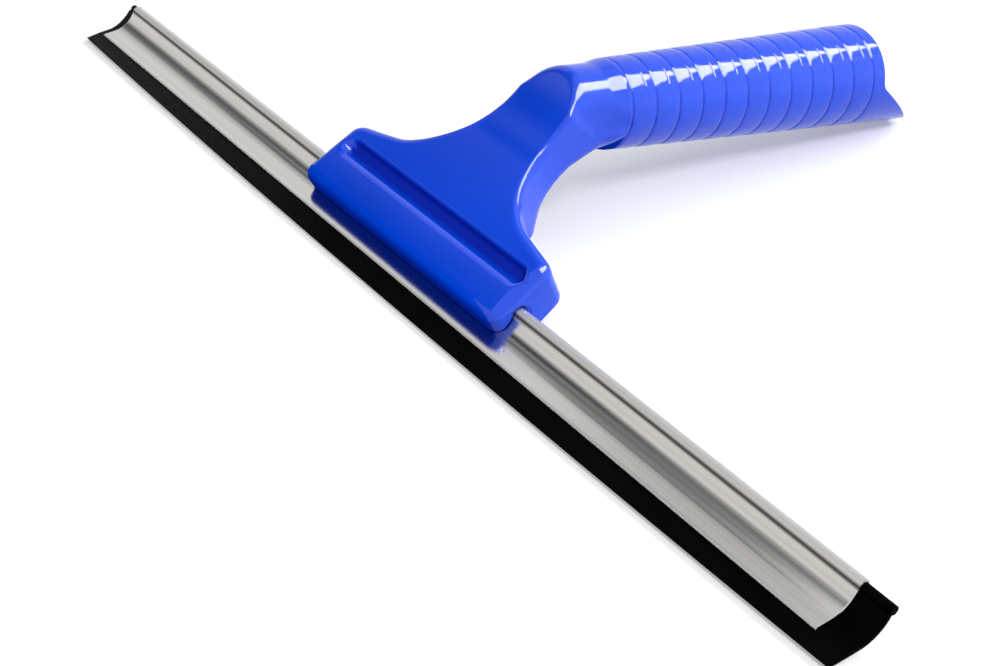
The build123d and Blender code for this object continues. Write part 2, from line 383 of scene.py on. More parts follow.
def plan(x, z):
    """Signed distance to the plan's outline: the nearest of its lines and arcs, negative inside."""
    x = np.abs(x)
    turn = 180 - math.degrees(math.asin((FLARE_START - WAIST[1]) / NECK_SIDE_RADIUS))
    corner = (HALF_HEAD - END_CORNER, JAW_LOW + END_CORNER)
    near = [
        to_line(x, z, (0, JAW_LOW), (corner[0], JAW_LOW)),
        to_arc(x, z, corner, END_CORNER, -90, 0),
        to_line(x, z, (HALF_HEAD, corner[1]), (HALF_HEAD, SHOULDER[1])),
        to_arc(x, z, SHOULDER, SHOULDER_RADIUS, 0, SLOPE),
        to_line(x, z, *slope_ends()),
        to_arc(x, z, WAIST, WAIST_RADIUS, 180 + SLOPE, 180),
        to_arc(x, z, NECK, NECK_SIDE_RADIUS, 180, turn),
        to_arc(x, z, FLARE, FLARE_RADIUS, turn, FLARE_TURN),
    ]
    inside = (x < half_width(z)) & (z > JAW_LOW)
    return np.where(inside, -1, 1) * np.minimum.reduce(near)


def bend(tip, face, drop, top):
    """Radius of the arc from a jaw's tip that runs flush into its face."""
    return ((face - tip) ** 2 + (top - drop) ** 2) / (2 * (face - tip))


def front(y, z):
    """Signed distance to the front: the jaw's arc, the flat and the forward sweep."""
    jaw = bend(JAW_TIP, HEAD_FRONT, JAW_LOW, JAW_TOP)
    curve = np.hypot(y - jaw + HEAD_FRONT, z - JAW_TOP) - jaw
    rise = FRONT_SWEEP - np.hypot(y + HEAD_FRONT + FRONT_SWEEP, z - FRONT_SWEEP_LOW)
    return np.select([z < JAW_TOP, z < FRONT_SWEEP_LOW], [curve, -HEAD_FRONT - y], rise)


def back(y, z):
    """Signed distance to the back: the jaw's arc, the flat, the backward sweep and its straight end."""
    jaw = bend(BACK_JAW_TIP, HEAD_BACK, BACK_JAW_LOW, BACK_JAW_TOP)
    curve = np.hypot(y + jaw - HEAD_BACK, z - BACK_JAW_TOP) - jaw
    dy, dz = y - HEAD_BACK - BACK_SWEEP, z - BACK_SWEEP_LOW
    rise = BACK_SWEEP - np.hypot(dy, dz)
    straight = (dy - dz) * math.sqrt(0.5) + BACK_SWEEP
    places = [z < BACK_JAW_TOP, z < BACK_SWEEP_LOW, dz <= -dy]
    return np.select(places, [curve, y - HEAD_BACK, rise], straight)


def grip_radius(station):
    """Radius of the tapered grip at a station."""
    return FIRST_RADIUS + TAPER * (station - FIRST_GROOVE)


def on_axis(y, z):
    """Station along the grip's axis, and offset towards its underside."""
    dy, dz = y - AXIS_POINT[0], z - AXIS_POINT[1]
    return dy * math.sin(LEAN) + dz * math.cos(LEAN), dy * math.cos(LEAN) - dz * math.sin(LEAN)


def from_axis(station, offset):
    """The (y, z) point at a station and an offset."""
    y = AXIS_POINT[0] + station * math.sin(LEAN) + offset * math.cos(LEAN)
    return y, AXIS_POINT[1] + station * math.cos(LEAN) - offset * math.sin(LEAN)


def off_line(y, z, first, last):
    """Signed distance to the line through two points, positive on its right-hand side."""
    ey, ez = last[0] - first[0], last[1] - first[1]
    return ((y - first[0]) * ez - (z - first[1]) * ey) / math.hypot(ey, ez)


def eased(z, heights, values, width):
    """Values between heights on straight lines, their corners eased over a width."""
    grid = np.arange(0.0, EASE_TOP, EASE_STEP)
    window = np.hanning(2 * int(width / EASE_STEP) + 1)
    line = np.pad(np.interp(grid, heights, values), len(window) // 2, mode="edge")
    return np.interp(z, grid, np.convolve(line, window / window.sum(), "valid"))


def drafted(x, y, z, heights, at_back, at_front, at_left):
    """A side's move outwards by height: from its value at the back to that at the front, with more on the left."""
    share = np.clip((HEAD_BACK - y) / (HEAD_BACK + HEAD_FRONT), 0, 1)
    last = eased(z, heights, at_back, BACK_EASE)
    first = eased(z, heights, at_front, FRONT_EASE)
    left = eased(z, heights, at_left, FRONT_EASE)
    return last + (first - last + np.where(x < 0, left, 0)) * share


def moulding(points):
    """Signed distance to the head, fan and neck: plan, front and back met with rounded edges, and the grooved jaw."""
    x, y, z = points[..., 0], points[..., 1], points[..., 2]
    station, offset = on_axis(y, z)
    widening = np.clip((station - NECK_END) / (FLARE_END - NECK_END), 0, 1)
    tube = np.hypot(x, offset) - NECK_RADIUS - widening * (grip_radius(FLARE_END) - NECK_RADIUS)
    top = np.minimum(-off_line(y, z, KNEE, from_axis(*KNEE_END)), KNEE_END[1] - offset)
    under = np.minimum(off_line(y, z, CHIN, from_axis(FLARE_END, CHIN_END)), z - CHIN[1])
    body = soft_min(np.maximum(top, under), tube, NECK_BLEND)
    fade = np.clip((station - NECK_FADE[0]) / (NECK_FADE[1] - NECK_FADE[0]), 0, 1)
    longer = drafted(x, y, z, END_HEIGHTS, BACK_ENDS, FRONT_ENDS, LEFT_ENDS)
    wider = drafted(x, y, z, WIDTH_HEIGHTS, BACK_WIDTHS, FRONT_WIDTHS, LEFT_WIDTHS)
    outline = plan(np.maximum(np.abs(x) - longer, 0), z) - wider - NECK_SWELL * smooth(fade)
    sides = round_max(outline, body, np.interp(z, *NECK_ROUNDS))
    shell = round_max(sides, front(y, z), np.interp(z, *EDGE_ROUNDS))
    shell = round_max(shell, back(y, z), BACK_ROUND)
    shell = np.maximum(shell, -np.maximum(BACK_STEP - y, z - BACK_JAW_LOW))
    past_end = np.maximum(np.abs(x) - GROOVE_HALF + GROOVE_RADIUS, 0)
    slot = np.hypot(past_end, z - GROOVE_HEIGHT) - GROOVE_RADIUS
    groove = round_max(slot, y - GROOVE_FLOOR, GROOVE_FOOT)
    return round_max(shell, -groove, np.interp(z - GROOVE_HEIGHT, *GROOVE_LIPS))


def columns():
    """Columns round the handle, front, right end, back and left end in turn.

    Gives shares along the section's middle line, directions in the head, and directions in the grip,
    counted on from the head's so that columns never jump a full turn.
    """
    share = np.linspace(-1, 1, FLAT, endpoint=False)
    share = np.sign(share) * (1 - (1 - np.abs(share)) ** 1.5)
    knots = [0, 10, 22, 34, 46, 52, 60]
    turns = [0, 26, 39, 51, 128, 142, 180]
    cap = np.interp(np.linspace(0, knots[-1], CAP, endpoint=False), knots, turns)
    along = np.concatenate([share, np.ones(CAP), -share, -np.ones(CAP)])
    head = np.radians(np.concatenate([np.zeros(FLAT), cap, np.full(FLAT, 180.0), 180 + cap]))
    grip = np.radians((np.arange(len(along)) - FLAT / 2) * 360.0 / len(along))
    return along, head, grip + 2 * np.pi * np.round((head - grip) / (2 * np.pi))


def traced(centre, up, half, turn, along):
    """Outline of a section: from points on its middle line, each ray is followed to the moulding's surface."""
    middles = (np.broadcast_to(c[:, None], (len(c), len(along))) for c in centre)
    base = np.stack([along * half[:, None], *middles], -1)
    ray = np.stack([np.sin(turn), np.cos(turn) * up[0][:, None], np.cos(turn) * up[1][:, None]], -1)
    near, far = np.zeros(turn.shape), np.full(turn.shape, RAY)
    for _ in range(HALVINGS):
        middle = (near + far) / 2
        inside = moulding(base + ray * middle[..., None]) < 0
        near, far = np.where(inside, middle, near), np.where(inside, far, middle)
    return base + ray * near[..., None]


def head_heights():
    """Heights of the sections through the jaw, the groove, the shoulders and the fan, close where edges round."""
    lip = [-1.64, -1.61, -1.595, -1.57, -1.52, -1.45, -1.35, -1.2, -1.0]
    lip = np.concatenate([np.linspace(-2.6, -1.7, 9), lip])
    return np.concatenate(
        [
            JAW_LOW + np.array([0.01, 0.04, 0.1, 0.2, 0.34, 0.5, 0.7, 0.95, 1.25, 1.6, 2.0, 2.4, 2.96]),
            [BACK_JAW_LOW + 0.01, 9.0, 9.4, 10.2, 11.4, 13.0],
            np.linspace(14.0, 18.6, 17),
            GROOVE_HEIGHT + np.concatenate([lip, np.linspace(-0.75, 0.75, 5), -lip[::-1]]),
            np.linspace(24.3, 32.2, 48),
            np.linspace(32.6, 49.5, 26),
        ]
    )


def head_rows(along, head):
    """Level sections of the head and fan, the bottom of the jaw closed on its middle line."""
    heights = head_heights()
    middle = np.where(heights < BACK_JAW_LOW, JAW_MIDDLE, HEAD_MIDDLE)
    half = half_width(heights) - INSET
    level = (np.full_like(heights, -1.0), np.zeros_like(heights))
    rows = traced((middle, heights), level, half, np.tile(head, (len(heights), 1)), along)
    closing = rows[:1].copy()
    closing[0, :, 0] = along * half[0]
    closing[0, :, 1] = middle[0]
    closing[0, :, 2] = JAW_LOW
    return np.concatenate([closing, rows])


def fan_rows(along, head, grip):
    """Sections from the fan to the neck, which turn about a line behind the neck."""
    lean = LEAN * np.linspace(0, 1, FAN_ROWS)
    mix = smooth(lean / LEAN)
    reach = PIVOT_REACH + (on_axis(*PIVOT)[1] - PIVOT_REACH) * mix
    up = (-np.cos(lean), np.sin(lean))
    centre = (PIVOT[0] + up[0] * reach, PIVOT[1] + up[1] * reach)
    half = (half_width(np.array([PIVOT[1]])) - INSET) * (1 - mix)
    return traced(centre, up, half, head + (grip - head) * mix[:, None], along)


def neck_rows(along, grip):
    """Square sections of the neck up to the end of its flare."""
    neck = np.linspace(on_axis(*PIVOT)[0], NECK_END, 12)[1:]
    stations = np.concatenate([neck, np.linspace(NECK_END + 0.5, FLARE_END, 9)])
    lean = np.full_like(stations, LEAN)
    centre = from_axis(stations, np.zeros_like(stations))
    turn = np.tile(grip, (len(stations), 1))
    return traced(centre, (-np.cos(lean), np.sin(lean)), np.zeros_like(stations), turn, along)


def cut_station(offset):
    """Station where the tail is cut: square above, oblique below, with both corners rounded."""
    lean = math.atan(TAIL_SLOPE)
    tangent = TAIL_CORNER * math.tan(lean / 2)
    reach = tangent * math.cos(lean)
    first, last = -TAIL_MIDDLE / TAIL_SLOPE, (TAIL_END - RIM - TAIL_MIDDLE) / TAIL_SLOPE
    line = RIM + TAIL_MIDDLE + TAIL_SLOPE * offset
    low = RIM + TAIL_CORNER - leg(TAIL_CORNER, offset - first + tangent)
    high = TAIL_END - TAIL_CORNER + leg(TAIL_CORNER, last + tangent - offset)
    return np.select(
        [offset < first - tangent, offset < first + reach, offset < last - reach, offset < last + tangent],
        [np.full_like(offset, RIM), low, line, high],
        TAIL_END,
    )


def ring_profile():
    """Stations, rises and fine lines of the ringed outside: two facets to a ring, a notch between rings."""
    notch = np.array([-0.62, -0.42, -0.27, -0.14, 0.0, 0.14, 0.27, 0.42, 0.62])
    depth = np.array([0.0, 0.06, 0.26, 0.46, 0.55, 0.46, 0.26, 0.06, 0.0])
    body = np.array([0.2, 0.4, 0.56, 0.59, 0.61, 0.63, 0.68, 0.82])
    rise = np.array([0.05, 0.09, 0.11, 0.11, 0.11, 0.105, 0.085, 0.045])
    line = np.array([0.0, 0.0, 0.0, 0.0, 0.07, 0.0, 0.0, 0.0])
    starts = FIRST_GROOVE + RING_PITCH * np.arange(RING_COUNT)
    stations = (starts[:, None] + np.concatenate([notch, body * RING_PITCH])).ravel()
    rises = np.tile(np.concatenate([-depth, rise]), RING_COUNT)
    lines = np.tile(np.concatenate([np.zeros(len(notch)), line]), RING_COUNT)
    keep = stations < starts[-1] + 0.7
    return stations[keep], rises[keep], lines[keep]


def grip_rows(grip):
    """Rings, tail, cut and socket: a radius and a station for every direction, row by row.

    The notches are deepest under the grip, and the fine lines show on its top.
    """
    offset = -np.cos(grip)
    under = np.clip((offset + 0.55) / 0.6, 0, 1)
    stations, rises, lines = ring_profile()
    rises = rises[:, None]
    rises = np.where(rises < 0, rises * (TOP_NOTCH + (1 - TOP_NOTCH) * under), rises)
    rises = rises - lines[:, None] * (1 - under)
    profile = [(grip_radius(FLARE_END), FLARE_END + 0.02)]
    profile += zip(grip_radius(stations)[:, None] + rises, stations)
    end = np.full(len(grip), RIM)
    for _ in range(30):
        end = cut_station(grip_radius(end) * offset)
    outer = grip_radius(end)
    for share in (0.15, 0.4, 0.7, 1.0):
        station = stations[-1] + share * (end - TAIL_EDGE - stations[-1])
        profile.append((grip_radius(station), station))
    for angle in np.radians([22, 45, 68, 90]):
        radius = outer - TAIL_EDGE * (1 - math.cos(angle))
        profile.append((radius, cut_station(radius * offset) - TAIL_EDGE * (1 - math.sin(angle))))
    for share in (0.35, 0.7, 1.0):
        radius = outer - TAIL_EDGE + share * (SOCKET_RADIUS + SOCKET_EDGE - outer + TAIL_EDGE)
        profile.append((radius, cut_station(radius * offset)))
    for angle in np.radians([60, 30, 0]):
        radius = SOCKET_RADIUS + SOCKET_EDGE * (1 - math.cos(angle))
        profile.append((radius, cut_station(radius * offset) - SOCKET_EDGE * (1 - math.sin(angle))))
    mouth = profile[-1][1]
    for share in (0.25, 0.5, 0.75, 1.0):
        profile.append((SOCKET_RADIUS, mouth + share * (SOCKET_INNER - mouth)))
    profile += CORE
    radius, station = (np.stack([np.broadcast_to(v, grip.shape) for v in values]) for values in zip(*profile))
    return np.stack([radius * np.sin(grip), *from_axis(station, radius * offset)], -1)


def handle_surface():
    """The whole handle as one grid: traced sections of the head, fan and neck, then rings, tail and socket."""
    along, head, grip = columns()
    return np.concatenate(
        [head_rows(along, head), fan_rows(along, head, grip), neck_rows(along, grip), grip_rows(grip)]
    )


def clamp_outline(tight):
    """The clamp's opening across the head: clearance round the sheet and the roll, and relief behind the front jaw.

    At the ends of the head the opening is tight: it follows the sheet's cup, roll and back all round.
    """
    below = -CLAMP_GAP * FLANGE_BACK - FLANGE * FLANGE_UP
    inner = CUP_RADIUS - CLAMP_GAP
    jaw_face = arc(CUP, inner, CUP_START, JAW_FACE_END, 12)
    if tight:
        relief = arc(CUP, inner, JAW_FACE_END, JAW_FACE_END + 52.0, 12)[1:]
        turns = (220.0, 20.0)
        top = [(3.7, 13.0), (BACK_WALL, 11.0)]
    else:
        relief = np.linspace(jaw_face[-1], (-1.5, 13.0), 12)[1:]
        turns = (201.5, 90.0)
        top = [(SPINE[0], 17.2), (BACK_WALL, 17.2)]
    roll = arc(SPINE, SPINE_RADIUS + CLAMP_GAP, *turns, 24)
    foot = [(BACK_WALL, -FLANGE), (below[0] + 2.5, -FLANGE)]
    return np.concatenate([[below], jaw_face, relief, roll, top, foot])


def clamp_opening():
    """The clamp's opening as a bar: tight and widened at the head's two mouths, the right one's rim rounded."""
    turn = np.radians(np.linspace(90, 0, 10))
    rim = zip(RIGHT_RIM - RIM_ROUND * (1 - np.sin(turn)), RIM_ROUND * (1 - np.cos(turn)))
    left = [(-depth, amount) for depth, amount in [*LEFT_MOUTH, (TIGHT_END, 0.0)]]
    right = [(OUTSIDE, RIM_ROUND + 0.05), *rim, (TIGHT_END, 0.0)][::-1]
    ends = [[spread(clamp_outline(True), amount) for _, amount in mouth] for mouth in (left, right)]
    loose = [spread(clamp_outline(False), 0.0)] * 2
    depths = [*(depth for depth, _ in left), -LOOSE_END, LOOSE_END, *(depth for depth, _ in right)]
    return prism("clamp_opening", np.stack(ends[0] + loose + ends[1]), depths, across)


def hollow(name, sign):
    """One half of the hollow behind the fan: the waist's arc moved in by the skin, the rib and rounded corners."""
    radius, near = WAIST_RADIUS + SKIN, RIB / 2 + HOLLOW_CORNER
    low, high = polar(WAIST, radius, 258.3), polar(WAIST, radius, 183.6)
    outline = np.concatenate(
        [
            arc(WAIST, radius, 256.0, 186.0, 40),
            [(high[0] - 0.3, high[1] - 0.5), (high[0] - 0.9, high[1])],
            arc((near, high[1] - HOLLOW_CORNER), HOLLOW_CORNER, 90, 180, 7),
            arc((near, low[1] + HOLLOW_CORNER), HOLLOW_CORNER, 180, 270, 7),
            [(low[0] - 2.0, low[1])],
        ]
    )
    return prism(name, np.stack([outline * (sign, 1.0)] * 2), (SKIN - HEAD_FRONT, HOLLOW_BACK), behind)


def carried(name, fronts, backs, stations, bulge=0.0):
    """A closed strip: matching front and back lines carried along x, its ends closed on the line between them.

    The bulge of each line stands out at the first end.
    """
    loop = np.concatenate([fronts, backs[:, ::-1]], 1)
    middle = (fronts + backs) / 2
    spine = np.concatenate([middle, middle[:, ::-1]], 1)
    inset = 0.75 * loop + 0.25 * spine
    sections = np.concatenate([spine[:1], inset[:1], loop, inset[-1:], spine[-1:]])
    first, last = stations[0], stations[-1]
    places = np.concatenate([[first, first, first + CHAMFER], stations[1:-1], [last - CHAMFER, last, last]])
    x = np.repeat(places[:, None], sections.shape[1], 1)
    x[:3] -= bulge
    return piece(name, np.concatenate([x[..., None], sections], -1), STRIP_SHARP)


def lengthwise(first, last, count):
    """Stations along a length, close together at its ends so that the shading of the cut stays there."""
    near = np.array([0.0, 0.3, 0.8, 2.0])
    return np.concatenate([first + near, np.linspace(first + 6, last - 6, count), last - near[::-1]])


def channel_lines():
    """The sheet's outer and inner lines: front flange, cup, roll over the spine, back and back flange in turn."""
    rise = np.linspace(0, FLANGE, 5)[:, None] * FLANGE_UP
    turn = np.radians([0.0, 30.0, 60.0, 90.0])
    inset = LIP_ROUND * (1 - np.sin(turn))[:, None]
    climb = LIP_ROUND * (1 - np.cos(turn))[:, None]

    def flange(depth, sign):
        """A flange at a depth behind the front face, with its lip rounded towards one side."""
        edge = depth * FLANGE_BACK + sign * inset * FLANGE_BACK + climb * FLANGE_UP
        return np.concatenate([edge, depth * FLANGE_BACK + rise[1:]])

    def wall(fore, aft, roll, roll_end, back_top, sign):
        """One side of the sheet, from the depth of its front flange over the roll to that of its back flange."""
        return np.concatenate(
            [
                flange(fore, sign)[:-1],
                arc(CUP, CUP_RADIUS + fore, CUP_START, CUP_END, 40)[:-1],
                arc(SPINE, roll, 180 + CUP_END, roll_end, 56)[:-1],
                arc(CUP, CUP_RADIUS + aft, back_top, CUP_START, 34)[:-1],
                flange(aft, -sign)[::-1],
            ]
        )

    outer = wall(0.0, FOLD, SPINE_RADIUS, -36.95, 32.37, 1.0)
    inner = wall(SHEET, FOLD - SHEET, SPINE_RADIUS - SHEET, -46.0, 34.5, -1.0)
    return outer, inner


def rubber_lines(stations):
    """The rubber's front and back lines at each station: half a bead, the web and the edge cut to a shallow arc."""
    foot = FOLD / 2 * FLANGE_BACK
    tip = foot - BLADE_REACH * FLANGE_UP
    middle, half = (stations[0] + stations[-1]) / 2, (stations[-1] - stations[0]) / 2
    edge = tip[1] + BLADE_CROWN * ((stations - middle) / half) ** 2
    bead = SPINE_RADIUS - SHEET - RUBBER_GAP
    reach = 180 - math.degrees(math.asin(WEB / 2 / bead))
    lines = []
    for sign in (-1, 1):
        round_end = arc(SPINE, bead, CUP_END + 90, CUP_END + 90 - sign * reach, 18)
        web = arc(CUP, CUP_RADIUS + FOLD / 2 + sign * WEB / 2, WEB_TOP, CUP_START, 26)
        root = foot + sign * WEB / 2 * FLANGE_BACK
        end = tip + sign * BLADE_TIP / 2 * FLANGE_BACK
        share = (root[1] - np.maximum(edge, end[1])) / (root[1] - end[1])
        falls = (share[:, None] * BLADE_FALLS)[..., None]
        blade = root + falls * (end - root) - (sign * BLADE_PULLS)[:, None] * FLANGE_BACK
        held = np.tile(np.concatenate([round_end, web]), (len(stations), 1, 1))
        lines.append(np.concatenate([held, blade], 1))
    return lines


handle = piece("squeegee_handle", handle_surface())
cut(handle, clamp_opening(), hollow("right_hollow", 1.0), hollow("left_hollow", -1.0))

stations = lengthwise(*CHANNEL_ENDS, 30)
channel = carried("steel_channel", *(np.tile(line, (len(stations), 1, 1)) for line in channel_lines()), stations)

stations = lengthwise(*RUBBER_ENDS, 60)
lines = rubber_lines(stations)
bulge = RUBBER_BULGE * np.clip(np.sin(np.linspace(-0.8, 3.4, lines[0].shape[1])), 0, 1)
rubber = carried("wiping_rubber", *lines, stations, np.concatenate([bulge, bulge[::-1]]))

for obj, body, node, slot in (
    (handle, "handle", "handle", "handle_plastic"),
    (channel, "channel", "channel", "stainless_sheet"),
    (rubber, "rubber", "rubber_blade", "blade_rubber"),
):
    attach(obj, body)
    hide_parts(node)

# Materials: colours, painted shade among them, and where the handle's faces dulled as painted shade lie
BLUES = (0.0008, 0.060, 0.75), (0.0016, 0.070, 0.83)
GROOVE_SHADE_BLUE = (0.006, 0.026, 0.46)
NOTCH_SHADE_BLUE = (0.0008, 0.02, 0.34)
FLARE_SHADE_BLUE = (0.0008, 0.03, 0.42)
JAW_SHADE_BLUE = (0.0008, 0.03, 0.56)
STEELS = (0.60, 0.59, 0.575), (0.70, 0.69, 0.675)
LIT_ROLL_STEEL = (0.76, 0.75, 0.735)
CREASE_SHADE_STEEL = (0.10, 0.095, 0.09)
DARKEST_RUBBERS = (0.0005, 0.0005, 0.0005), (0.0018, 0.0018, 0.0019)
LIGHTER_RUBBERS = (0.007, 0.007, 0.007), (0.03, 0.03, 0.03)
LIGHTENING_ENDS = (-0.19, -0.02)
# Where the handle's reflection is taken off as painted shade: along the jaw by x, and under the flare
JAW_SHADE_DULL = ([34.0, 45.0], [3.4, 0.8])
FLARE_SHADE_LINE, FLARE_SHADE_SLANT = 7.9, 0.8


def material(name):
    """A new material, its nodes and its shader."""
    made = bpy.data.materials.new(name)
    made.use_nodes = True
    return made, made.node_tree, made.node_tree.nodes["Principled BSDF"]


def noise(tree, place, scale, detail, roughness=0.5):
    """Noise at a place."""
    node = tree.nodes.new("ShaderNodeTexNoise")
    node.inputs["Scale"].default_value = scale
    node.inputs["Detail"].default_value = detail
    node.inputs["Roughness"].default_value = roughness
    tree.links.new(place, node.inputs["Vector"])
    return node.outputs["Fac"]


def span(tree, value, low, high, first, last, clamp=True):
    """A value taken from one range to another, held at its ends."""
    node = tree.nodes.new("ShaderNodeMapRange")
    node.clamp = clamp
    for name, number in (("From Min", low), ("From Max", high), ("To Min", first), ("To Max", last)):
        node.inputs[name].default_value = number
    tree.links.new(value, node.inputs["Value"])
    return node.outputs["Result"]


def blend(tree, share, first, last):
    """A colour between two, each a constant or a node's output."""
    node = tree.nodes.new("ShaderNodeMix")
    node.data_type = "RGBA"
    tree.links.new(share, node.inputs["Factor"])
    for name, colour in (("A", first), ("B", last)):
        socket = [s for s in node.inputs if s.name == name and s.type == "RGBA"][0]
        if isinstance(colour, tuple):
            socket.default_value = (*colour, 1.0)
        else:
            tree.links.new(colour, socket)
    return [s for s in node.outputs if s.type == "RGBA"][0]


def bump(tree, shader, height, strength, distance):
    """Give a shader relief from a height."""
    node = tree.nodes.new("ShaderNodeBump")
    node.inputs["Strength"].default_value = strength
    node.inputs["Distance"].default_value = distance
    tree.links.new(height, node.inputs["Height"])
    tree.links.new(node.outputs["Normal"], shader.inputs["Normal"])


def object_place(tree, scale=(1.0, 1.0, 1.0)):
    """The place on the object, in metres, scaled along each axis."""
    spot = tree.nodes.new("ShaderNodeTexCoord")
    mapping = tree.nodes.new("ShaderNodeMapping")
    mapping.inputs["Scale"].default_value = scale
    tree.links.new(spot.outputs["Object"], mapping.inputs["Vector"])
    return mapping.outputs["Vector"]


def axis_place(tree, axis):
    """The place along one of the object's axes, in metres."""
    split = tree.nodes.new("ShaderNodeSeparateXYZ")
    tree.links.new(object_place(tree), split.inputs[0])
    return split.outputs[axis]


def vector_of(tree, operation, place, other=(0.0, 0.0, 0.0)):
    """A vector operation on a place and a constant that gives one value."""
    node = tree.nodes.new("ShaderNodeVectorMath")
    node.operation = operation
    node.inputs[1].default_value = other
    tree.links.new(place, node.inputs[0])
    return node.outputs["Value"]


def math_of(tree, operation, first, second=0.0):
    """An operation on two values, each a constant or a node's output."""
    node = tree.nodes.new("ShaderNodeMath")
    node.operation = operation
    for socket, value in zip(node.inputs, (first, second)):
        if isinstance(value, (int, float)):
            socket.default_value = value
        else:
            tree.links.new(value, socket)
    return node.outputs[0]


def product(tree, first, *shares):
    """Shares multiplied together."""
    for share in shares:
        first = math_of(tree, "MULTIPLY", first, share)
    return first


def along_way(tree, way, start):
    """Distance in millimetres from a point of the head's frame along a way in its (y, z) plane."""
    origin, tip = laid(np.array([[0.0, *start], [0.0, start[0] + way[0], start[1] + way[1]]]))
    turned = (tip - origin) * 1000 * (0, 1, 1)
    lift = float(origin @ turned)
    return span(tree, vector_of(tree, "DOT_PRODUCT", object_place(tree), turned), lift, lift + 1, 0, 1000, False)


def grip_places(tree):
    """Station along the grip's axis, and offset towards its underside, in millimetres."""
    ways = (math.sin(LEAN), math.cos(LEAN)), (math.cos(LEAN), -math.sin(LEAN))
    return [along_way(tree, way, AXIS_POINT) for way in ways]


def off_spine(tree, y, z):
    """Distance in millimetres from a line along x through a point of the head's frame."""
    at = laid(np.array([0.0, y, z]))
    away = vector_of(tree, "DISTANCE", object_place(tree, (0.0, 1.0, 1.0)), (0.0, at[1], at[2]))
    return span(tree, away, 0, 1, 0, 1000, False)


def groove_shade_mask(tree, height):
    """1 inside the groove across the head, where shade is painted into the colour, 0 outside it."""
    deep = span(tree, along_way(tree, (1.0, 0.0), (-HEAD_FRONT, 0.0)), 0.15, 0.9, 0, 1)
    off = math_of(tree, "ABSOLUTE", math_of(tree, "SUBTRACT", height, GROOVE_HEIGHT + 0.2))
    near = span(tree, off, GROOVE_RADIUS, GROOVE_RADIUS + 1.0, 1, 0)
    side = math_of(tree, "ABSOLUTE", math_of(tree, "SUBTRACT", axis_place(tree, "X"), SHIFT[0] / 1000))
    within = span(tree, side, (GROOVE_HALF - 0.2) / 1000, (GROOVE_HALF + 0.6) / 1000, 1, 0)
    return product(tree, deep, near, within)


def notch_shade_mask(tree):
    """Painted shade: 1 at the bottom of the notches between the grip's rings, little on their shallow top, 0 on the
    rings.
    """
    station, below = grip_places(tree)
    off = math_of(tree, "PINGPONG", math_of(tree, "SUBTRACT", station, FIRST_GROOVE), RING_PITCH / 2)
    # the painted shade fades from under the grip, where less light falls, to its top
    low = span(tree, below, -8.0, 7.0, 0.1, 1)
    bottom = span(tree, off, 0.1, 0.42, 1, 0)
    on_rings = span(tree, station, FIRST_GROOVE - 1.0, FIRST_GROOVE - 0.5, 0, 1)
    before_tail = span(tree, station, RIM - 3.0, RIM - 2.0, 1, 0)
    return product(tree, low, bottom, on_rings, before_tail)


def flare_shade_mask(tree):
    """Painted shade: 1 under the flare between the neck and the first ring, below a slanted line, 0 elsewhere."""
    station, below = grip_places(tree)
    starts = span(tree, station, NECK_END - 0.3, NECK_END + 1.2, 0, 1)
    ends = span(tree, station, FIRST_GROOVE - 1.4, FIRST_GROOVE - 0.6, 1, 0)
    slant = math_of(tree, "ADD", below, math_of(tree, "MULTIPLY", station, FLARE_SHADE_SLANT))
    line = FLARE_SHADE_LINE + FLARE_SHADE_SLANT * NECK_END
    return product(tree, span(tree, slant, line - 0.5, line + 2.0, 0, 1), starts, ends)


def blue_plastic(name, mirror):
    """Moulded plastic: slow shade changes and fine orange peel, with painted shade in the groove, the notches, under
    the flare and under the jaw.
    """
    made, tree, shader = material(name)
    place = object_place(tree)
    height = along_way(tree, (0.0, 1.0), (0.0, 0.0))
    colour = blend(tree, span(tree, noise(tree, place, 28.0, 3.0), 0.35, 0.65, 0, 1), *BLUES)
    # painted shade: darker blue along the jaw's lower edge and underside
    jaw_shade = span(tree, height, JAW_LOW + 0.1, JAW_LOW + 1.9, 1, 0)
    groove = groove_shade_mask(tree, height)
    # painted shade: the groove's colour darker blue
    colour = blend(tree, groove, colour, GROOVE_SHADE_BLUE)
    colour = blend(tree, notch_shade_mask(tree), colour, NOTCH_SHADE_BLUE)
    # painted shade: darker blue under the flare
    colour = blend(tree, flare_shade_mask(tree), colour, FLARE_SHADE_BLUE)
    colour = blend(tree, jaw_shade, colour, JAW_SHADE_BLUE)
    tree.links.new(colour, shader.inputs["Base Color"])
    gloss = span(tree, noise(tree, place, 700.0, 4.0), 0.3, 0.7, 0.08, 0.12)
    dull = math_of(tree, "MAXIMUM", span(tree, jaw_shade, 0, 1, 0, 0.6), span(tree, groove, 0, 1, 0, 0.3))
    tree.links.new(math_of(tree, "MAXIMUM", gloss, dull), shader.inputs["Roughness"])
    shader.inputs["IOR"].default_value = 1.5
    shader.inputs["Specular IOR Level"].default_value = mirror
    bump(tree, shader, noise(tree, place, 260.0, 2.0), 0.04, 0.0002)
    return made


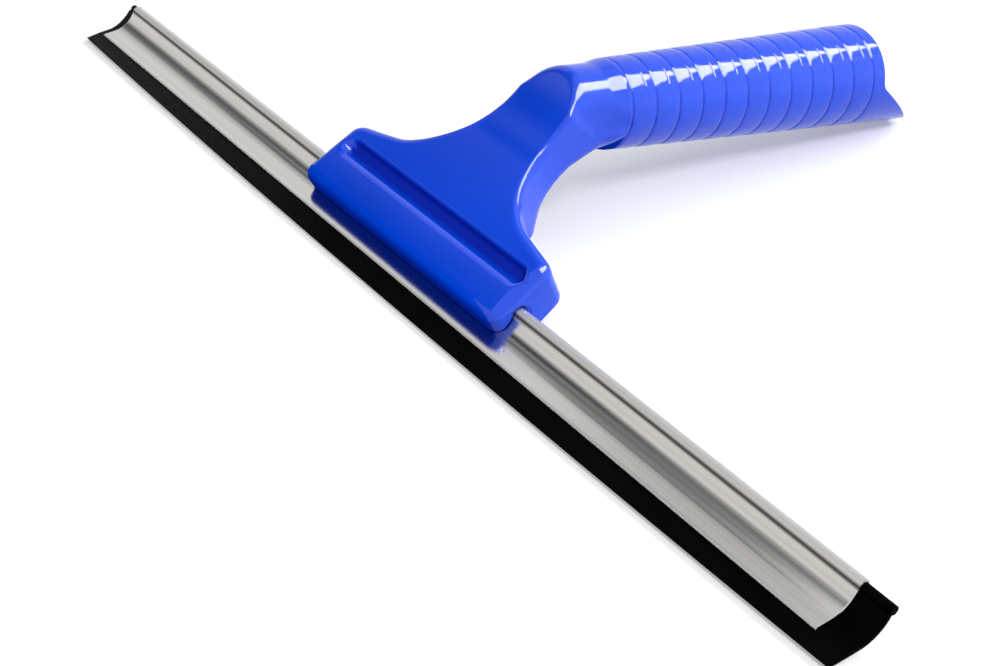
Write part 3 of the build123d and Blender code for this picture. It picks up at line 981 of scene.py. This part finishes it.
def rolled_steel():
    """Bright rolled sheet: grain drawn along x, in shade, roughness and height, a duller roll with painted light in
    its colour, and painted shade in the crease.
    """
    made, tree, shader = material("rolled_steel")
    grain = noise(tree, object_place(tree, (1.5, 1400.0, 1400.0)), 1.0, 5.0, 0.6)
    bright = blend(tree, span(tree, grain, 0.3, 0.7, 0, 1), *STEELS)
    crease = polar(SPINE, SPINE_RADIUS, 180 + CUP_END + 4)
    from_roll = off_spine(tree, *SPINE)
    # painted light: the roll's colour lighter than the rest of the sheet
    on_roll = span(tree, from_roll, SPINE_RADIUS + 0.15, SPINE_RADIUS + 0.5, 1, 0)
    bright = blend(tree, on_roll, bright, LIT_ROLL_STEEL)
    # painted shade: the sheet darkened along the crease between the cup and the roll
    clear = span(tree, off_spine(tree, *crease), 0.2, 0.9, 0, 1)
    tree.links.new(blend(tree, clear, CREASE_SHADE_STEEL, bright), shader.inputs["Base Color"])
    shader.inputs["Metallic"].default_value = 1.0
    gloss = span(tree, grain, 0.3, 0.7, 0.13, 0.2)
    dull = span(tree, from_roll, SPINE_RADIUS + 0.15, SPINE_RADIUS + 0.9, 0.55, 0)
    lip = span(tree, off_spine(tree, 0.0, 0.0), 0.35, 0.8, 0.5, 0)
    rough = math_of(tree, "MAXIMUM", gloss, math_of(tree, "MAXIMUM", dull, lip))
    tree.links.new(rough, shader.inputs["Roughness"])
    bump(tree, shader, grain, 0.015, 0.0001)
    return made


def black_rubber():
    """Matt rubber: near black, a fine tooth, and a lighter speckled tone that fades from the left end."""
    made, tree, shader = material("black_rubber")
    place = object_place(tree)
    bloom = noise(tree, place, 60.0, 5.0)
    fine = noise(tree, place, 1500.0, 3.0)
    darker_tone = blend(tree, span(tree, bloom, 0.35, 0.7, 0, 1), *DARKEST_RUBBERS)
    lighter_tone = blend(tree, span(tree, fine, 0.35, 0.7, 0, 1), *LIGHTER_RUBBERS)
    # lighter and speckled towards the left end, darker towards the right
    colour = blend(tree, span(tree, axis_place(tree, "X"), *LIGHTENING_ENDS, 1, 0), darker_tone, lighter_tone)
    tree.links.new(colour, shader.inputs["Base Color"])
    tree.links.new(span(tree, fine, 0.3, 0.7, 0.55, 0.75), shader.inputs["Roughness"])
    shader.inputs["Specular IOR Level"].default_value = 0.02
    bump(tree, shader, fine, 0.2, 0.0001)
    return made


def shade_dull_faces(mesh):
    """1 for the handle's faces with no reflection, as painted shade, at the jaw's lower edge, in the groove and under
    the flare, else 0.
    """
    middles = np.empty(3 * len(mesh.polygons))
    mesh.polygons.foreach_get("center", middles)
    middles = middles.reshape(-1, 3)
    origin, back_way, up = laid(np.array([[0.0, 0.0, 0.0], [0.0, 1.0, 0.0], [0.0, 0.0, 1.0]]))
    x = middles[:, 0] * 1000 - SHIFT[0]
    y, z = ((middles - origin) @ (way - origin) * 1e6 for way in (back_way, up))
    rise = z - GROOVE_HEIGHT
    groove = (np.abs(x) < GROOVE_HALF + 0.3) & (rise > -1.8) & (rise < 2.7) & (y > 0.12 - HEAD_FRONT) & (y < 0)
    jaw = z < JAW_LOW + np.interp(x, *JAW_SHADE_DULL)
    station, below = on_axis(y, z)
    low = below + FLARE_SHADE_SLANT * (station - NECK_END) > FLARE_SHADE_LINE
    flare = low & (station > NECK_END - 0.3) & (station < FIRST_GROOVE - 0.6)
    return (jaw | groove | flare).astype(np.int32)


handle.data.materials.append(blue_plastic("blue_plastic", 0.5))
# a copy of the blue without reflection, for the faces given painted shade
handle.data.materials.append(blue_plastic("shade_dull_blue_plastic", 0.0))
handle.data.polygons.foreach_set("material_index", shade_dull_faces(handle.data))
channel.data.materials.append(rolled_steel())
rubber.data.materials.append(black_rubber())

# Stage, in metres: floor, cards that only reflections see, world, lamps and camera. Steps are (y, brightness)
FLOOR = 6.0
FLOOR_LEVEL = -0.0005
TOP = 1.2
FAR_STEPS = [
    (-1.8, 0.9), (-1.5, 0.8), (-1.35, 0.66), (-1.2, 0.48), (-1.05, 0.33), (-0.9, 0.19), (-0.75, 0.12), (-0.6, 0.11),
    (-0.45, 0.2), (-0.3, 0.32), (-0.15, 0.55), (0.0, 0.7), (0.15, 0.8), (0.36, 0.9), (0.7, 0.9),
]
LEFT_STEPS = [
    (-1.8, 0.9), (-1.45, 0.9), (-1.2, 0.5), (-1.1, 0.28), (-1.0, 0.12), (-0.85, 0.04), (-0.72, 0.07), (-0.62, 0.22),
    (-0.5, 0.4), (-0.42, 0.28), (-0.34, 0.1), (-0.28, 0.1), (-0.22, 0.34), (-0.1, 0.46), (0.1, 0.75), (0.36, 0.9),
    (0.7, 0.9),
]
RIGHT_STEPS = [
    (-1.5, 0.9), (-1.23, 0.45), (-1.0, 0.3), (-0.8, 0.22), (-0.13, 0.2), (0.2, 0.28), (0.4, 0.46), (0.6, 0.68),
    (1.0, 0.75),
]
STRIP = [(0.03, -0.3), (0.9, -0.3), (0.9, 1.12), (0.6, 1.3), (0.4, 1.4), (0.2, 1.6), (0.1, 2.1), (0.0, 2.1)]
WHITE = (1, 1, 1)
WARM = (1.0, 0.96, 0.925)


def plane(name, corners, paint):
    """A flat stage card through its corners."""
    mesh = bpy.data.meshes.new(name)
    mesh.from_pydata(corners, [], [tuple(range(len(corners)))])
    mesh.materials.append(paint)
    obj = bpy.data.objects.new(name, mesh)
    bpy.context.scene.collection.objects.link(obj)
    return obj


def seen_directly(tree):
    """1 for rays that show the background: from the camera, mirrored and passed through."""
    path = tree.nodes.new("ShaderNodeLightPath")
    seen = path.outputs["Is Camera Ray"]
    for name in ("Is Glossy Ray", "Is Transmission Ray"):
        seen = math_of(tree, "MAXIMUM", seen, path.outputs[name])
    return seen


def pale_floor():
    """A matt pale floor that the camera and mirrors see lighter, most of all far from the lamps."""
    made, tree, shader = material("pale_floor")
    shader.inputs["Base Color"].default_value = (0.70, 0.70, 0.70, 1)
    shader.inputs["Roughness"].default_value = 0.9
    shader.inputs["Specular IOR Level"].default_value = 0.0
    shader.inputs["Emission Color"].default_value = (*WHITE, 1)
    lift = span(tree, vector_of(tree, "LENGTH", object_place(tree)), 0.6, 2.4, 0.33, 0.8)
    tree.links.new(product(tree, lift, seen_directly(tree)), shader.inputs["Emission Strength"])
    return made


def glowing(name, colour=WHITE, strength=1.0):
    """A card's plain glow."""
    made = bpy.data.materials.new(name)
    made.use_nodes = True
    tree = made.node_tree
    tree.nodes.clear()
    glow = tree.nodes.new("ShaderNodeEmission")
    glow.inputs["Color"].default_value = (*colour, 1)
    glow.inputs["Strength"].default_value = strength
    out = tree.nodes.new("ShaderNodeOutputMaterial")
    tree.links.new(glow.outputs[0], out.inputs["Surface"])
    return made, tree, glow


def overhead(name, left, right, steps):
    """A card overhead whose glow changes from front to back by its steps."""
    made, tree, glow = glowing(name)
    ramp = tree.nodes.new("ShaderNodeValToRGB")
    first, last = steps[0][0], steps[-1][0]
    tree.links.new(span(tree, axis_place(tree, "Y"), first, last, 0, 1), ramp.inputs["Fac"])
    while len(ramp.color_ramp.elements) < len(steps):
        ramp.color_ramp.elements.new(0.5)
    for element, (place, value) in zip(ramp.color_ramp.elements, steps):
        element.position = (place - first) / (last - first)
        element.color = (value, value, value, 1)
    tree.links.new(ramp.outputs["Color"], glow.inputs["Color"])
    return plane(name, [(left, first, TOP), (right, first, TOP), (right, last, TOP), (left, last, TOP)], made)


def upright(name, first, last, low, high, colour, strength):
    """An upright card of one glow between two places on the floor."""
    corners = [(*first, low), (*last, low), (*last, high), (*first, high)]
    return plane(name, corners, glowing(name, colour, strength)[0])


def softbox(name, place, aim, size, power):
    """A rectangular lamp that mirrors don't show."""
    lamp = bpy.data.lights.new(name, "AREA")
    lamp.shape = "RECTANGLE"
    lamp.size, lamp.size_y = size
    lamp.energy = power
    obj = bpy.data.objects.new(name, lamp)
    obj.location = place
    obj.rotation_euler = (Vector(aim) - Vector(place)).to_track_quat("-Z", "Y").to_euler()
    obj.visible_glossy = False
    bpy.context.scene.collection.objects.link(obj)


square = ((-FLOOR, -FLOOR), (FLOOR, -FLOOR), (FLOOR, FLOOR), (-FLOOR, FLOOR))
plane("floor", [(x, y, FLOOR_LEVEL) for x, y in square], pale_floor())
cards = [
    overhead("far_card", -4.0, -1.72, FAR_STEPS),
    overhead("left_card", -1.72, -1.0, LEFT_STEPS),
    overhead("right_card", -1.0, -0.56, RIGHT_STEPS),
    upright("warm_card", (-4.0, -1.9), (0.6, -1.9), 0.02, 1.6, WARM, 0.88),
    upright("side_card", (3.8, -0.6), (1.2, 4.2), 0.0, 2.6, WHITE, 1.5),
    plane("strip_card", [(x, y, TOP) for x, y in STRIP], glowing("strip_card", WHITE, 16.0)[0]),
]
gloss_only = bpy.data.collections.new("gloss_only")
gloss_only.objects.link(handle)
cards[-1].light_linking.receiver_collection = gloss_only
for card in cards:
    card.visible_camera = card.visible_diffuse = card.visible_shadow = False
    card.visible_transmission = card.visible_volume_scatter = False

world = bpy.data.worlds.new("studio")
bpy.context.scene.world = world
world.use_nodes = True
tree = world.node_tree
tree.links.new(span(tree, seen_directly(tree), 0, 1, 0.3, 1.0), tree.nodes["Background"].inputs["Strength"])
tree.nodes["Background"].inputs["Color"].default_value = (*WHITE, 1)

softbox("back_softbox", (0.33, 1.18, 0.98), (0.0, 0.03, 0.03), (1.1, 0.42), 16.5)
softbox("front_fill", (-0.7, -1.1, 1.0), (0.0, 0.0, 0.0), (1.0, 1.0), 3.2)
softbox("key_lamp", (0.95, -0.25, 1.1), (0.0, 0.0, 0.0), (0.3, 0.3), 10.5)

camera = bpy.data.cameras.new("camera")
camera.lens = 66.81132
camera.sensor_width = 36.0
camera.sensor_fit = "HORIZONTAL"
camera.clip_start = 0.01
viewer = bpy.data.objects.new("camera", camera)
viewer.location = (0.36816896, -0.32144369, 0.26172577)
viewer.rotation_euler = (0.9975077582, -0.0386118214, 0.9640228289)
bpy.context.scene.collection.objects.link(viewer)
bpy.context.scene.camera = viewer
bpy.context.scene.view_settings.view_transform = "Standard"
